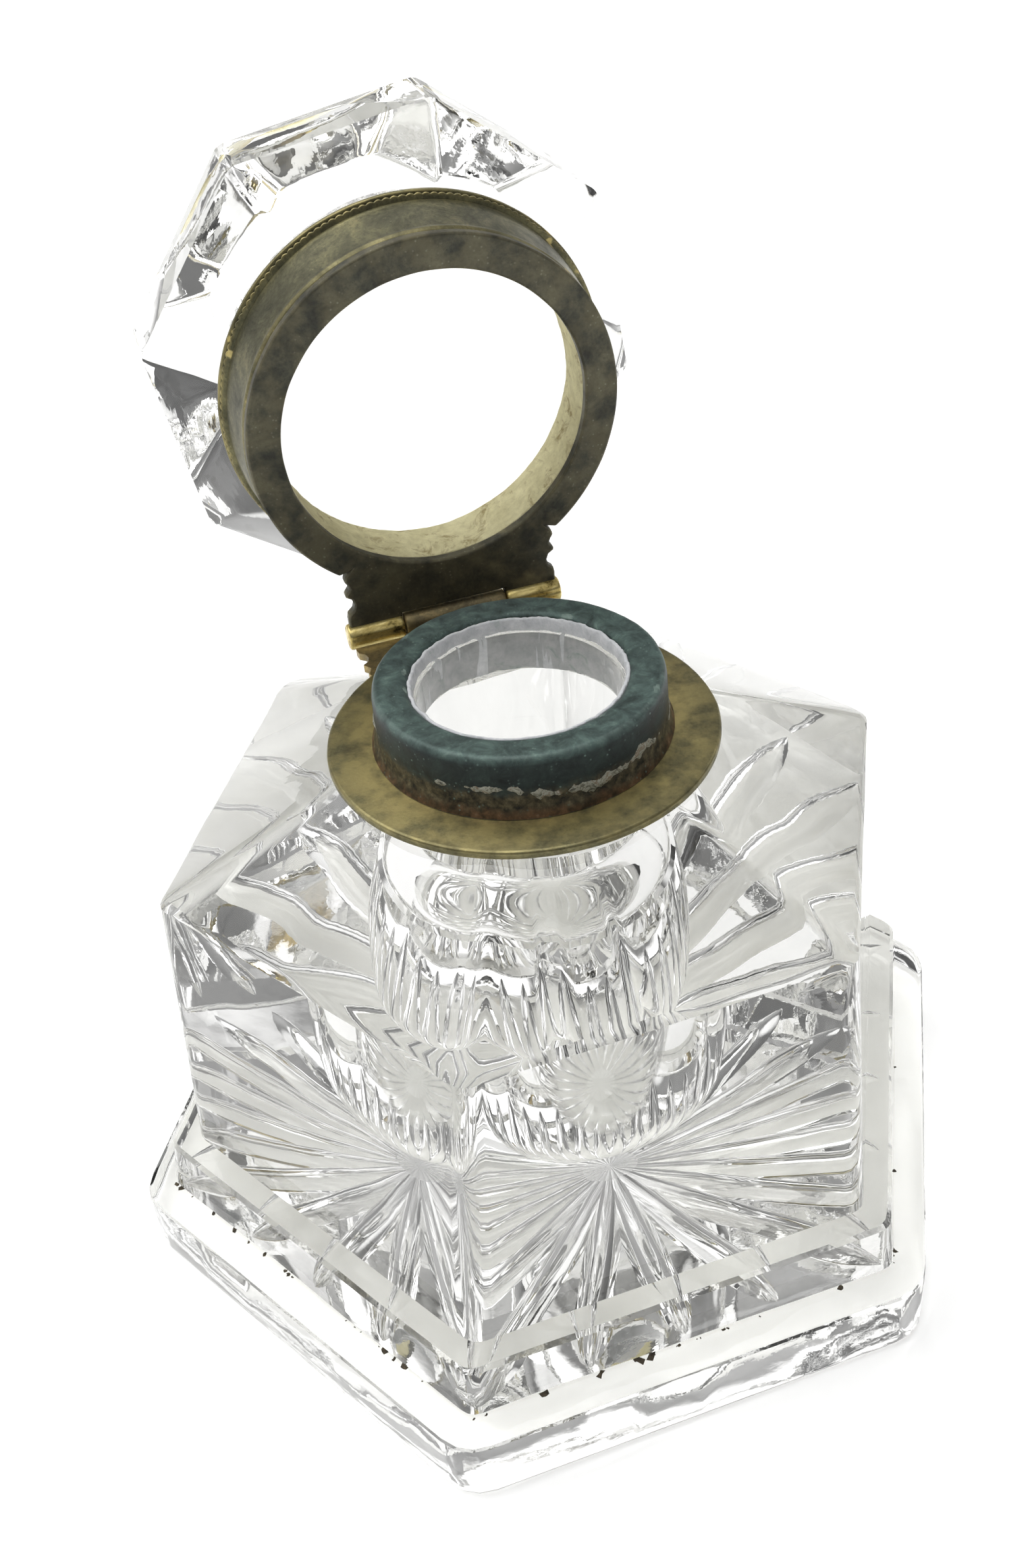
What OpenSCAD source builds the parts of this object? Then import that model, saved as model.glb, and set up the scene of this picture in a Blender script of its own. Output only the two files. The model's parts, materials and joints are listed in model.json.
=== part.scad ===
// Hexagonal cut-glass desk inkwell with a hinged, brass-mounted glass lid.
// Millimetres, +Z up. The origin is the centre of the plinth's flat underside and the hinge is at +Y.
// The lid is drawn in its shut place and then swung open by lid_open.

/* [Glass plinth and step] */
// Corner radius of the separate hexagonal plinth
foot_r = 55.4; // [52:0.1:60]
// Height of the separate plinth
foot_h = 9.2; // [6:0.1:14]
// Corner radius of the body's step at its foot
step_r = 51; // [48:0.1:52]
// Corner radius of the body's step at its top
step_top_r = 50.2; // [47.5:0.1:51]
// Height of the body's step
step_h = 7.2; // [5:0.1:12]

/* [Glass block] */
// Corner radius of the block at its foot
block_r = 46.6; // [44:0.1:47.5]
// Corner radius of the block at the shoulder
block_top_r = 43.6; // [42:0.1:46]
// Height of the block
block_h = 37.4; // [32:0.1:45]
// Height of the sloping shoulder
shoulder_h = 8.6; // [6:0.1:12]
// Radius of the round boss that the collar sits on
boss_r = 20.8; // [20:0.1:21.5]
// Height of the boss above the shoulder
boss_h = 1.3; // [0.5:0.1:3]
// Outer radius of the glass neck inside the collar
neck_r = 14.4; // [13.5:0.1:14.8]
// Height of the glass neck above the boss
neck_h = 6.2; // [4:0.1:6.8]
// Radius of the bore of the neck
neck_bore_r = 11.4; // [9:0.1:11.8]

/* [Ink cavity] */
// Radius of the ink cavity
cavity_r = 15.3; // [13:0.1:20]
// Thickness of glass under the cavity
floor_t = 9.4; // [6:0.1:14]
// Height of the cavity's straight wall above the cavity's floor
cavity_h = 23.4; // [18:0.1:28]
// Height of the throat that narrows from the cavity to the neck
throat_h = 7; // [4:0.1:10]
// Rounding of the cavity's floor edge
cavity_round = 7.2; // [2:0.1:7.6]

/* [Star cut] */
// Number of rays, a multiple of 6
star_rays = 24; // [12:6:36]
// Distance from the middle to the line on which the rays end
star_reach = 42.2; // [36:0.1:43]
// Distance from the middle at which two neighbouring grooves part
star_root = 20; // [12:0.5:28]
// Depth of the star at its centre
star_depth = 2.4; // [1:0.1:4]

/* [Collar] */
// Radius of the flange
flange_r = 22; // [21:0.1:22.5]
// Thickness of the flange
flange_t = 1; // [0.8:0.1:1.5]
// Outer radius of the upstanding rim
rim_r = 16.2; // [15.8:0.1:16.5]
// Radius of the opening in the rim's top
rim_bore_r = 12.2; // [12:0.1:13]
// Height of the rim above the flange
rim_h = 7.3; // [7:0.1:7.6]
// Thickness of the rim's brass
rim_t = 0.9; // [0.6:0.1:1.2]
// Radius of the small fillet bead at the foot of the rim
rim_bead = 0.7; // [0.4:0.1:0.9]

/* [Hinge] */
// Distance of the hinge axis behind the middle
hinge_y = 26.2; // [26:0.1:28]
// Height of the hinge axis above the top of the flange
hinge_rise = 0.5; // [0.3:0.1:0.8]
// Radius of the knuckles
knuckle_r = 1.65; // [1.4:0.05:1.8]
// Radius of the hinge pin
pin_r = 0.7; // [0.5:0.05:0.8]
// Radial clearance between the pin and the moving knuckles
pin_clear = 0.05; // [0.02:0.01:0.1]
// Length of the whole hinge
hinge_len = 27.4; // [24:0.2:30]
// Length of the middle knuckle
middle_len = 13.4; // [10:0.2:16]
// Clearance at the end of each knuckle
end_clear = 0.15; // [0.1:0.05:0.3]
// Angle of the open lid from its shut place
lid_open = 84.5; // [0:0.5:90]

/* [Lid mount] */
// Gap between the shut lid and the flange
shut_gap = 0.15; // [0.1:0.05:0.3]
// Outer radius of the lid plate
plate_r = 21.8; // [21:0.1:22]
// Radius of the opening in the lid plate
plate_bore_r = 17.9; // [17.5:0.1:18.3]
// Thickness of the lid plate
plate_t = 1.3; // [1:0.1:1.5]
// Thickness of the bezel's wall
bezel_t = 1.4; // [1:0.1:2]
// Height of the bezel's top above the lid plate's lower face
bezel_h = 9.7; // [9.4:0.1:10.5]
// Radius of the bead round the bezel's top
bezel_lip_r = 23.2; // [22.8:0.1:23.5]
// Depth of the recess inside the lid
recess_h = 8.4; // [8.3:0.1:9]

/* [Lid glass] */
// Number of sides
lid_sides = 8; // [6:1:12]
// Corner radius of the widest band
girdle_r = 30.5; // [27:0.1:32]
// Height of the lower edge of the band above the plate's lower face
girdle_low = 16; // [12:0.1:20]
// Height of the band
girdle_h = 10; // [6:0.1:14]
// Corner radius of the flat top
table_r = 15; // [8:0.1:20]
// Height of the top above the band
crown_h = 8; // [5:0.1:14]
// Turn of the corners from the +X axis
lid_turn = 13; // [0:1:45]

/* [Hidden] */

eps = 0.01;
corners = 6;
round_fn = 96;
hull_fn = 32;

block_z = foot_h + step_h;
shoulder_z = block_z + block_h;
boss_z = shoulder_z + shoulder_h;
flange_z = boss_z + boss_h;
rim_z = flange_z + flange_t;
neck_top = flange_z + neck_h;
shoulder_top_r = boss_r / cos(180 / corners);
floor_z = foot_h + floor_t;
cavity_top = floor_z + cavity_h;
throat_top = cavity_top + throat_h;
cement_r = rim_r - rim_t;
cement_top = rim_z + rim_h - rim_t;
// The cement's inner face stands this far proud of the brass edge
cement_lip = 0.5;
cement_lip_h = 0.5;

hinge_z = rim_z + hinge_rise;
leaf_clear = 0.25;
leaf_half = hinge_len / 2 - 0.4;
leaf_root_y = 12;
side_len = (hinge_len - middle_len) / 2;
scallop_r = 1.3;
scallop_y = 21.4;
cusp_r = 0.7;

plate_z = rim_z + shut_gap;
bezel_z = plate_z + plate_t;
bezel_top = plate_z + bezel_h;
bezel_bore_r = plate_r - bezel_t;
bezel_lip_h = 1.1;
groove_h = 0.35;
groove_depth = 0.25;
recess_z = plate_z + recess_h;
spigot_r = bezel_bore_r - 0.9;
spigot_root = 2;
seat_r = bezel_lip_r - 0.3;
seat_h = 0.5;

brass = "#6b5f3a";
dark_brass = "#4a4636";
verdigris = "#3d5450";
worn_brass = "#b8912f";
plaster = "#d9d6cc";
glass = [0.86, 0.89, 0.9, 0.55];

// A plain ring standing on z = 0
module ring(outer, inner, h) {
    difference() {
        cylinder(r = outer, h = h, $fn = round_fn);
        translate([0, 0, -eps]) cylinder(r = inner, h = h + 2 * eps, $fn = round_fn);
    }
}

// Swings what is drawn in the lid's shut place to its place when open
module opened() {
    translate([0, hinge_y, hinge_z]) rotate([-lid_open, 0, 0]) translate([0, -hinge_y, -hinge_z])
        children();
}

// A cylinder along X at the hinge axis, centred on x
module on_axis(r, x, len) {
    translate([x - len / 2, hinge_y, hinge_z]) rotate([0, 90, 0]) cylinder(r = r, h = len, $fn = 48);
}

// Half section of the ink cavity, its throat and the bore of the neck
module cavity_section() {
    round_z = floor_z + cavity_round;
    round_r = cavity_r - cavity_round;
    translate([0, round_z]) square([cavity_r, cavity_top - round_z]);
    translate([0, floor_z]) square([round_r, cavity_round + eps]);
    translate([round_r, round_z]) circle(r = cavity_round, $fn = 96);
    polygon([[0, cavity_top - eps], [cavity_r, cavity_top - eps], [cavity_r, cavity_top],
             [neck_bore_r, throat_top], [0, throat_top]]);
    translate([0, throat_top - eps]) square([neck_bore_r, neck_top - throat_top + 1]);
}

// Point at distance r from the middle, i half steps round the star
function star_point(r, i) = [r * cos(i * 180 / star_rays), r * sin(i * 180 / star_rays)];

// Length of ray i, which ends on a hexagon inside the body's foot
function ray_tip(i) = star_reach / cos((i * 360 / star_rays) % 60 - 30);

// V grooves that meet at the centre, where they are deepest, and run out at their tips
module star_cut() {
    outline = [for (i = [0 : star_rays - 1])
        each [star_point(ray_tip(i), 2 * i), star_point(star_root, 2 * i + 1)]];
    translate([0, 0, foot_h - eps]) linear_extrude(height = star_depth + eps, scale = 0) polygon(outline);
}

// The loose hexagonal plate of glass that the body stands on
module glass_plinth() {
    color(glass) cylinder(r = foot_r, h = foot_h, $fn = corners);
}

module glass_body() {
    color(glass) difference() {
        union() {
            translate([0, 0, foot_h]) cylinder(r1 = step_r, r2 = step_top_r, h = step_h, $fn = corners);
            translate([0, 0, block_z]) cylinder(r1 = block_r, r2 = block_top_r, h = block_h, $fn = corners);
            translate([0, 0, shoulder_z])
                cylinder(r1 = block_top_r, r2 = shoulder_top_r, h = shoulder_h, $fn = corners);
            translate([0, 0, boss_z - 1]) cylinder(r = boss_r, h = boss_h + 1, $fn = round_fn);
            translate([0, 0, flange_z - 1]) cylinder(r = neck_r, h = neck_h + 1, $fn = round_fn);
        }
        rotate_extrude($fn = round_fn) cavity_section();
        star_cut();
    }
}

// Plaster between the glass neck and the brass rim, with a lip showing inside the opening
module neck_cement() {
    color(plaster) difference() {
        translate([0, 0, flange_z]) cylinder(r = cement_r, h = cement_top - flange_z, $fn = round_fn);
        translate([0, 0, flange_z - eps]) cylinder(r = neck_r, h = neck_h + eps, $fn = round_fn);
        translate([0, 0, flange_z]) cylinder(r = rim_bore_r - cement_lip, h = rim_h + 2, $fn = round_fn);
    }
    color(plaster) translate([0, 0, cement_top])
        ring(rim_bore_r, rim_bore_r - cement_lip, cement_lip_h);
}

module collar_flange() {
    color(brass) translate([0, 0, flange_z]) ring(flange_r, cement_r, flange_t);
}

module collar_rim() {
    color(verdigris) translate([0, 0, rim_z]) difference() {
        union() {
            cylinder(r = rim_r, h = rim_h, $fn = round_fn);
            cylinder(r1 = rim_r + rim_bead, r2 = rim_r, h = rim_bead, $fn = round_fn);
        }
        translate([0, 0, -eps]) cylinder(r = cement_r, h = rim_h - rim_t + eps, $fn = round_fn);
        translate([0, 0, -eps]) cylinder(r = rim_bore_r, h = rim_h + 2 * eps, $fn = round_fn);
    }
}

// Scalloped edges of a hinge leaf, cut from both sides
module leaf_scallops(z, t) {
    for (side = [-1, 1])
        translate([side * (leaf_half + 0.5), scallop_y, z - eps]) {
            cylinder(r = scallop_r, h = t + 2 * eps, $fn = 32);
            translate([0, -scallop_r - cusp_r, 0]) cylinder(r = cusp_r, h = t + 2 * eps, $fn = 32);
        }
}

module collar_hinge_leaf() {
    z = flange_z;
    color(brass) difference() {
        translate([-leaf_half, leaf_root_y, z]) cube([2 * leaf_half, hinge_y - leaf_root_y, flange_t]);
        translate([0, 0, z - eps]) cylinder(r = flange_r, h = flange_t + 2 * eps, $fn = round_fn);
        on_axis(knuckle_r, 0, middle_len - 2 * end_clear);
        for (side = [-1, 1])
            on_axis(knuckle_r + leaf_clear, side * (middle_len / 2 + side_len / 2), side_len + 2 * end_clear);
        translate([-hinge_len, hinge_y - 1, z - eps]) cube([2 * hinge_len, 2, 2]);
        leaf_scallops(z, flange_t);
    }
}

module collar_knuckle() {
    color(worn_brass) difference() {
        on_axis(knuckle_r, 0, middle_len - 2 * end_clear);
        on_axis(pin_r, 0, middle_len);
    }
}

module hinge_pin() {
    color(worn_brass) on_axis(pin_r, 0, hinge_len);
}

module lid_plate() {
    color(dark_brass) opened() difference() {
        union() {
            translate([0, 0, plate_z]) cylinder(r = plate_r, h = plate_t, $fn = round_fn);
            translate([-leaf_half, leaf_root_y, plate_z])
                cube([2 * leaf_half, hinge_y - leaf_root_y, plate_t]);
        }
        translate([0, 0, plate_z - eps]) cylinder(r = plate_bore_r, h = plate_t + 2 * eps, $fn = round_fn);
        on_axis(knuckle_r + leaf_clear, 0, middle_len + 2 * end_clear);
        on_axis(knuckle_r, 0, hinge_len);
        translate([-hinge_len, hinge_y - 1, plate_z - eps]) cube([2 * hinge_len, 2, 2]);
        leaf_scallops(plate_z, plate_t);
    }
}

module lid_bezel() {
    lip_z = bezel_top - bezel_lip_h;
    color(brass) opened() difference() {
        union() {
            translate([0, 0, bezel_z])
                cylinder(r1 = plate_r - 0.1, r2 = bezel_lip_r - 0.6, h = lip_z - bezel_z, $fn = round_fn);
            translate([0, 0, lip_z]) cylinder(r = bezel_lip_r, h = bezel_lip_h, $fn = round_fn);
        }
        translate([0, 0, bezel_z - eps])
            cylinder(r = bezel_bore_r, h = bezel_top - bezel_z + 2 * eps, $fn = round_fn);
        translate([0, 0, lip_z - groove_h])
            ring(bezel_lip_r + 1, bezel_lip_r - 0.6 - groove_depth, groove_h);
    }
}

module lid_cement() {
    color(plaster) opened() {
        translate([0, 0, bezel_z]) ring(bezel_bore_r, plate_bore_r, recess_z - bezel_z);
        translate([0, 0, recess_z]) ring(bezel_bore_r, spigot_r, bezel_top - recess_z);
    }
}

module lid_glass() {
    low = plate_z + girdle_low;
    color(glass) opened() {
        translate([0, 0, recess_z])
            cylinder(r = spigot_r, h = bezel_top - recess_z + spigot_root, $fn = round_fn);
        hull() {
            translate([0, 0, bezel_top]) cylinder(r = seat_r, h = seat_h, $fn = hull_fn);
            translate([0, 0, low]) rotate([0, 0, lid_turn])
                cylinder(r = girdle_r, h = girdle_h, $fn = lid_sides);
            translate([0, 0, low + girdle_h]) rotate([0, 0, lid_turn])
                cylinder(r = table_r, h = crown_h, $fn = lid_sides);
        }
    }
}

// One outer knuckle, side -1 or 1
module lid_knuckle(side) {
    x = side * (middle_len / 2 + side_len / 2);
    color(worn_brass) opened() difference() {
        on_axis(knuckle_r, x, side_len);
        on_axis(pin_r + pin_clear, x, side_len + 1);
    }
}

module lid_knuckle_left() {
    lid_knuckle(-1);
}

module lid_knuckle_right() {
    lid_knuckle(1);
}

glass_plinth();
glass_body();
neck_cement();
collar_flange();
collar_rim();
collar_hinge_leaf();
collar_knuckle();
hinge_pin();
lid_plate();
lid_bezel();
lid_cement();
lid_glass();
lid_knuckle_left();
lid_knuckle_right();
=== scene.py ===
"""Looks for a hexagonal cut-glass inkwell with a hinged, brass-mounted glass lid.

Everything is in metres, in the CAD model's frame. The lid's pieces are made shut and then swung open.
"""

import json
import math
import random

import bmesh
import bpy
from mathutils import Matrix, Vector, noise


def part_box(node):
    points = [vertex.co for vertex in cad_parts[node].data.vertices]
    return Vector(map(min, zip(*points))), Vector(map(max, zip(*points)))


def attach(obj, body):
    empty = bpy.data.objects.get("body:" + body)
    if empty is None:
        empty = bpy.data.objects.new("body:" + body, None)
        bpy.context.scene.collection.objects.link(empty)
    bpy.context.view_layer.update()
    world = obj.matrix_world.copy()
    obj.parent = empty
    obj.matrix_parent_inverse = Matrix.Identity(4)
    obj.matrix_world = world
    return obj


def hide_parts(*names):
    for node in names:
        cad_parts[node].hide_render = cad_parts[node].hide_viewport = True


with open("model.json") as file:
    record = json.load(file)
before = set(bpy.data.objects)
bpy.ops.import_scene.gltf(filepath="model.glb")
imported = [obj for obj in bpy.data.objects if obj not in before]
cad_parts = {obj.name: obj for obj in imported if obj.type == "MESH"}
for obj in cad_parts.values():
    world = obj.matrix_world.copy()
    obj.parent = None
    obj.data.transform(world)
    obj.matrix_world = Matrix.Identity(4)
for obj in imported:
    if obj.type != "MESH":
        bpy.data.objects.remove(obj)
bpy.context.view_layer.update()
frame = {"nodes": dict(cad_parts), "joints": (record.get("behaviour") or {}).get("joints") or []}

MM = 0.001
JOINT = frame["joints"][0]
HINGE = Vector(JOINT["pos_m"])
LID_OPEN = math.radians(JOINT["range_deg"][1])
OPENING = Matrix.Translation(HINGE) @ Matrix.Rotation(-LID_OPEN, 4, "X") @ Matrix.Translation(-HINGE)
CRYSTAL_IOR = 1.52


# ---------------------------------------------------------------- places taken from the frame


def shut_box(node):
    """A lid node's lowest and highest corners with the lid shut."""
    back = OPENING.inverted()
    points = [back @ v.co for v in frame["nodes"][node].data.vertices]
    low = Vector(min(p[i] for p in points) for i in range(3))
    high = Vector(max(p[i] for p in points) for i in range(3))
    return low, high


PLINTH_LOW, PLINTH_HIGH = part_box("glass_plinth")
GLASS_LOW, GLASS_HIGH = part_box("glass_body")
FLANGE_LOW, FLANGE_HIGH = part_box("collar_flange")
RIM_LOW, RIM_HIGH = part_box("collar_rim")
CEMENT_LOW, CEMENT_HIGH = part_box("neck_cement")
LEAF_LOW, LEAF_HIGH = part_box("collar_hinge_leaf")
KNUCKLE_LOW, KNUCKLE_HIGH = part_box("collar_knuckle")
PIN_LOW, PIN_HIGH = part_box("hinge_pin")
PLATE_LOW, PLATE_HIGH = shut_box("lid_plate")
BEZEL_LOW, BEZEL_HIGH = shut_box("lid_bezel")
LINING_LOW, LINING_HIGH = shut_box("lid_cement")
LID_LOW, LID_HIGH = shut_box("lid_glass")
SEAT_Z = FLANGE_LOW.z

# Sizes the boxes don't give, the same as the CAD's
STEP_TOP_R = 50.2 * MM
STEP_H = 7.2 * MM
BLOCK_R = 46.6 * MM
BLOCK_TOP_R = 43.6 * MM
BLOCK_H = 37.4 * MM
SHOULDER_H = 8.6 * MM
BOSS_R = 20.8 * MM
NECK_R = 14.4 * MM
BORE_R = 11.4 * MM
CAVITY_R = 15.3 * MM
CAVITY_FLOOR = GLASS_LOW.z + 9.4 * MM
CAVITY_TOP = CAVITY_FLOOR + 23.4 * MM
THROAT_TOP = CAVITY_TOP + 7 * MM
CAVITY_ROUND = 7.2 * MM
STAR_RAYS = 24
STAR_REACH = 42.2 * MM
RIM_BORE_R = 12.2 * MM
PLATE_BORE_R = 17.9 * MM
BEZEL_BORE_R = 20.4 * MM
RECESS_Z = PLATE_LOW.z + 8.4 * MM
LID_SIDES = 8
LID_TURN = math.radians(13)
GIRDLE_R = 30.5 * MM
GIRDLE_LOW = PLATE_LOW.z + 16 * MM
GIRDLE_H = 10 * MM
TABLE_R = 15 * MM

# Not in the CAD: blowing left the cavity's wall a little barrel-shaped, widest this far above its floor
CAVITY_BELLY = 15.4 * MM
WALL_CURVE = 54 * MM


# ---------------------------------------------------------------- meshes


def add_object(name, mesh):
    obj = bpy.data.objects.new(name, mesh)
    bpy.context.scene.collection.objects.link(obj)
    return obj


def build(name, verts, faces, sharp=25.0):
    """A mesh object from points and faces, smooth except at edges sharper than sharp degrees."""
    mesh = bpy.data.meshes.new(name)
    mesh.from_pydata([tuple(v) for v in verts], [], faces)
    for polygon in mesh.polygons:
        polygon.use_smooth = True
    mesh.validate()
    mesh.update()
    mesh.set_sharp_from_angle(angle=math.radians(sharp))
    return add_object(name, mesh)


def finish_piece(piece, body, slot, *materials, replaces=(), opened=False):
    """Gives a piece its materials, swings it open if it belongs to the lid, parents it to its body's empty
    and hides the parts it replaces.
    """
    for mat in materials:
        piece.data.materials.append(mat)
    if opened:
        piece.data.transform(OPENING)
    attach(piece, body)
    if replaces:
        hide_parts(*replaces)


def polar(r, angle, z=0.0):
    return Vector((r * math.cos(angle), r * math.sin(angle), z))


def sweep(r, start, end, steps):
    """The steps + 1 points (x, y) of an arc about the origin, angles in radians."""
    turns = [start + (end - start) * k / steps for k in range(steps + 1)]
    return [(r * math.cos(a), r * math.sin(a)) for a in turns]


def arc(cx, cz, r, start, end, steps):
    """Points of an arc in a half section, angles in degrees."""
    out = []
    for i in range(steps + 1):
        a = math.radians(start + (end - start) * i / steps)
        out.append((cx + r * math.cos(a), cz + r * math.sin(a)))
    return out


def rounded(corners, steps=4):
    """A closed half section from (r, z, fillet) corners in millimetres, in metres."""
    out = []
    for i, (r, z, fillet) in enumerate(corners):
        here = Vector((r, z))
        before = Vector(corners[i - 1][:2]) - here
        after = Vector(corners[(i + 1) % len(corners)][:2]) - here
        reach = min(fillet, before.length * 0.48, after.length * 0.48)
        a = here + before.normalized() * reach
        b = here + after.normalized() * reach
        for k in range(steps + 1) if fillet else (0,):
            t = k / steps
            p = a * (1 - t) ** 2 + here * 2 * t * (1 - t) + b * t**2
            out.append((p.x * MM, p.y * MM))
    return out


def ring_faces(segments, count):
    """Quads of a ring whose closed half sections, of count points each, follow one another."""
    faces = []
    for s in range(segments):
        n = (s + 1) % segments
        for k in range(count):
            m = (k + 1) % count
            faces.append((s * count + k, n * count + k, n * count + m, s * count + m))
    return faces


def lathe(name, section, segments, wear, lumps=3.0, beads=None):
    """A ring turned about Z from a closed half section.

    wear is how far its surface wanders, and lumps how often round the ring. beads is (section indices,
    number of beads, their height)."""
    verts = []
    for s in range(segments):
        a = 2 * math.pi * s / segments
        for k, (r, z) in enumerate(section):
            at = Vector((math.cos(a) * lumps, math.sin(a) * lumps, z / MM * 0.35))
            fine = Vector((math.cos(a) * lumps * 5, math.sin(a) * lumps * 5, z / MM))
            d = wear * noise.noise(at) + wear * 0.5 * noise.noise(fine)
            if beads and k in beads[0]:
                d += beads[2] * abs(math.sin(a * beads[1] / 2))
            verts.append(polar(r + d, a, z + d * 0.3))
    return build(name, verts, ring_faces(segments, len(section)), 35)


def loft(loops, start_cap=True):
    """Points and faces of a stack of closed loops, capped at its end and, if asked, at its start."""
    count = len(loops[0])
    points = [p for loop in loops for p in loop]
    faces = []
    for a in range(0, len(points) - count, count):
        b = a + count
        faces += [(a + i, a + (i + 1) % count, b + (i + 1) % count, b + i) for i in range(count)]
    if start_cap:
        faces.append(tuple(reversed(range(count))))
    faces.append(tuple(range(len(points) - count, len(points))))
    return points, faces


def along_x(name, section, x0, x1, segments=40, seam=True):
    """A knuckle or pin along the hinge axis, from (distance from the end, radius) pairs.

    A knuckle has the seam where its strip of brass was rolled round."""
    seam_at, seam_half, seam_depth = 4.4, 0.09, 0.12 * MM
    loops = []
    for x, r in [(x0 + d, r) for d, r in section] + [(x1 - d, r) for d, r in reversed(section)]:
        loop = []
        for s in range(segments):
            a = 2 * math.pi * s / segments
            dent = seam_depth * math.exp(-(((a - seam_at) / seam_half) ** 2)) if seam else 0.0
            worn = 0.06 * MM * noise.noise(Vector((x / MM * 0.5, math.cos(a) * 2, math.sin(a) * 2)))
            rr = max(r - dent + min(worn, 0.0), 0.05 * MM)
            loop.append(HINGE + Vector((x, rr * math.cos(a), rr * math.sin(a))))
        loops.append(loop)
    return build(name, *loft(loops), 40)


def plate_mesh(name, outlines, z0, z1, edge, wear):
    """A flat plate between z0 and z1 with rounded edges.

    The first of the closed outlines is its outside, and the rest are holes."""
    bm = bmesh.new()
    rims = []
    for outline in outlines:
        points = [bm.verts.new((x, y, z0)) for x, y in outline]
        rims += [bm.edges.new((points[i - 1], points[i])) for i in range(len(points))]
    bmesh.ops.triangle_fill(bm, edges=rims, use_beauty=True, use_dissolve=True)
    made = bmesh.ops.extrude_face_region(bm, geom=bm.faces[:])
    raised = [e for e in made["geom"] if isinstance(e, bmesh.types.BMVert)]
    bmesh.ops.translate(bm, verts=raised, vec=(0, 0, z1 - z0))
    bmesh.ops.recalc_face_normals(bm, faces=bm.faces[:])
    for v in bm.verts:
        at = v.co / MM * 0.3
        v.co += Vector((noise.noise(at), noise.noise(at + Vector((9, 9, 9))), 0)) * wear
    mesh = bpy.data.meshes.new(name)
    bm.to_mesh(mesh)
    bm.free()
    for polygon in mesh.polygons:
        polygon.use_smooth = True
    mesh.set_sharp_from_angle(angle=math.radians(35))
    obj = add_object(name, mesh)
    bevel = obj.modifiers.new("edges", "BEVEL")
    bevel.width, bevel.segments = edge, 2
    bevel.limit_method, bevel.angle_limit = "ANGLE", math.radians(40)
    return obj


class PolygonLoops:
    """Closed loops round a polygon with rounded corners, all with the same number of points.

    Each side has steps + 1 points from corner to corner and two more in its last corner's rounding."""

    def __init__(self, sides, steps, turn=0.0, corner=1.4 * MM):
        self.sides, self.steps, self.turn, self.corner = sides, steps, turn, corner
        self.sector = 2 * math.pi / sides
        self.angles = []
        lean = math.radians(1.2)  # how far from a corner's angle its rounding starts on a circle
        for s in range(sides):
            start = turn + s * self.sector
            inner = [start + self.sector * k / steps for k in range(1, steps)]
            self.angles += [start + lean, *inner, start + self.sector - lean]
            self.angles += [start + self.sector - lean / 3, start + self.sector + lean / 3]
        self.count = len(self.angles)
        self.per_side = steps + 3

    def corners(self, r, z, moves=()):
        """The polygon's corners. moves gives single corners, by number, a move (x, y)."""
        out = [polar(r, self.turn + s * self.sector, z) for s in range(self.sides)]
        for s, (dx, dy) in dict(moves).items():
            out[s] += Vector((dx, dy, 0))
        return out

    def around(self, corners, soft=1.0):
        """The loop round these corners, each cut by soft times the polygon's rounding."""
        out = []
        for s in range(self.sides):
            a, b, after = (corners[(s + k) % self.sides] for k in range(3))
            cut = self.corner * soft / (b - a).length
            next_cut = self.corner * soft / (after - b).length
            out.append(a.lerp(b, cut))
            for k in range(1, self.steps):
                phi = self.sector * k / self.steps
                share = math.sin(phi) / (math.sin(phi) + math.sin(self.sector - phi))
                out.append(a.lerp(b, min(max(share, cut), 1 - cut)))
            end, begin = a.lerp(b, 1 - cut), b.lerp(after, next_cut)
            out.append(end)
            out += [end * (1 - t) ** 2 + b * 2 * t * (1 - t) + begin * t**2 for t in (1 / 3, 2 / 3)]
        return out

    def at(self, r, z):
        """The loop round the regular polygon whose corners are at radius r."""
        return self.around(self.corners(r, z))

    def circle(self, r, z):
        return [polar(r, a, z) for a in self.angles]

    def circle_on_facets(self, r, corners, middle_z, limit_z):
        """The loop where the facets that start at these corners meet a cylinder of radius r.

        They reach it at middle_z in the middle of each side, and the loop stops at limit_z."""
        out = []
        for i, a in enumerate(self.angles):
            s = i // self.per_side
            p, q = corners[s], corners[(s + 1) % self.sides]
            middle = polar(r, self.turn + (s + 0.5) * self.sector, middle_z)
            normal = (q - p).cross(middle - p)
            at = polar(r, a)
            z = p.z - (normal.x * (at.x - p.x) + normal.y * (at.y - p.y)) / normal.z
            out.append(polar(r, a, min(z, limit_z) if limit_z > middle_z else max(z, limit_z)))
        return out

    def uneven(self, loop, size, seed):
        """The loop with each point moved a little, as hand grinding leaves it."""
        out = []
        for p in loop:
            at = p / MM * 0.09 + Vector((seed, seed * 2, 0))
            drift = (noise.noise(at), noise.noise(at + Vector((7, 3, 1))), noise.noise(at * 1.7))
            out.append(p + Vector(drift) * size)
        return out


# ---------------------------------------------------------------- materials


class Nodes:
    """A node tree and short ways to add to it."""

    def __init__(self, tree):
        self.tree = tree

    def node(self, kind, **values):
        made = self.tree.nodes.new(kind)
        for key, value in values.items():
            setattr(made, key, value)
        return made

    def link(self, a, b):
        self.tree.links.new(a, b)

    def maths(self, operation, a, b):
        """a and b are numbers or outputs."""
        node = self.node("ShaderNodeMath", operation=operation)
        for socket, value in zip(node.inputs, (a, b)):
            if isinstance(value, (int, float)):
                socket.default_value = value
            else:
                self.link(value, socket)
        return node.outputs[0]


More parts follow.
